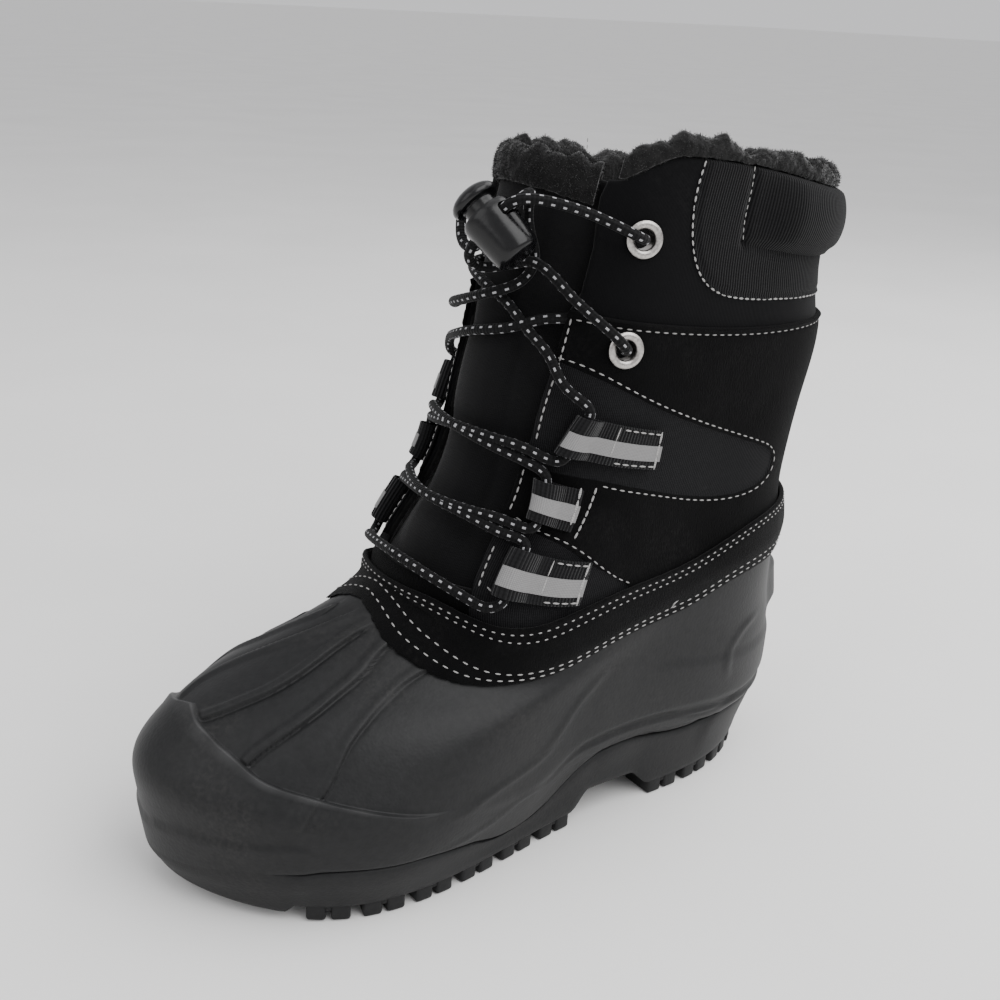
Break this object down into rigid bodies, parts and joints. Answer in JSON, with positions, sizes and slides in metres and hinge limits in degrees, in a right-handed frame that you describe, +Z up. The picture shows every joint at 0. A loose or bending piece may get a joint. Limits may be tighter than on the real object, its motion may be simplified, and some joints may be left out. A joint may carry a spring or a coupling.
{
  "type": "winter boot",
  "caption": "Left winter boot: moulded rubber shell, lugged sole, fabric shaft with fur-lined padded collar, webbing loops and elastic lace with a cord lock.",
  "frame": {"origin": "middle of the boot's box on the ground, without the two free lace strands", "axes": "+X from heel to toe, +Y to the wearer's left, which is the outer side of this left boot, +Z up"},
  "size_m": [0.262, 0.1032, 0.2402],
  "materials": {
    "sole_rubber": "matte",
    "shell_rubber": "satin, finely pebbled",
    "suede": "napped suede",
    "twill": "matte twill",
    "insole_felt": "felt",
    "tongue_fabric": "matte",
    "fur": "pile",
    "gunmetal": "plated",
    "webbing": "ribbed webbing",
    "lock_plastic": "satin",
    "lace": "braided"
  },
  "bodies": {
    "boot": {"outsole": "sole_rubber", "shell": "shell_rubber", "insole": "insole_felt", "shaft": "twill", "suede_band": "suede", "tongue": "tongue_fabric", "collar_fur": "fur", "tongue_fur": "fur", "eyelet_upper_lateral": "gunmetal", "eyelet_upper_medial": "gunmetal", "eyelet_lower_lateral": "gunmetal", "eyelet_lower_medial": "gunmetal", "loop_upper_lateral": "webbing", "loop_upper_medial": "webbing", "loop_middle_lateral": "webbing", "loop_middle_medial": "webbing", "loop_lower_lateral": "webbing", "loop_lower_medial": "webbing", "pull_tab": "webbing", "lace_crossings": "lace", "lace_end_lateral": "lace", "lace_end_medial": "lace", "lock_barrel": "lock_plastic"},
    "button": {"lock_button": "lock_plastic"}
  },
  "joints": [
    {"name": "lock_button_press", "type": "slide", "parent": "boot", "child": "button", "axis": [-0.3132, 0.6851, -0.6577], "range_m": [0, 0.003], "stiffness_N_per_m": 200, "springref_m": -0.004}
  ]
}
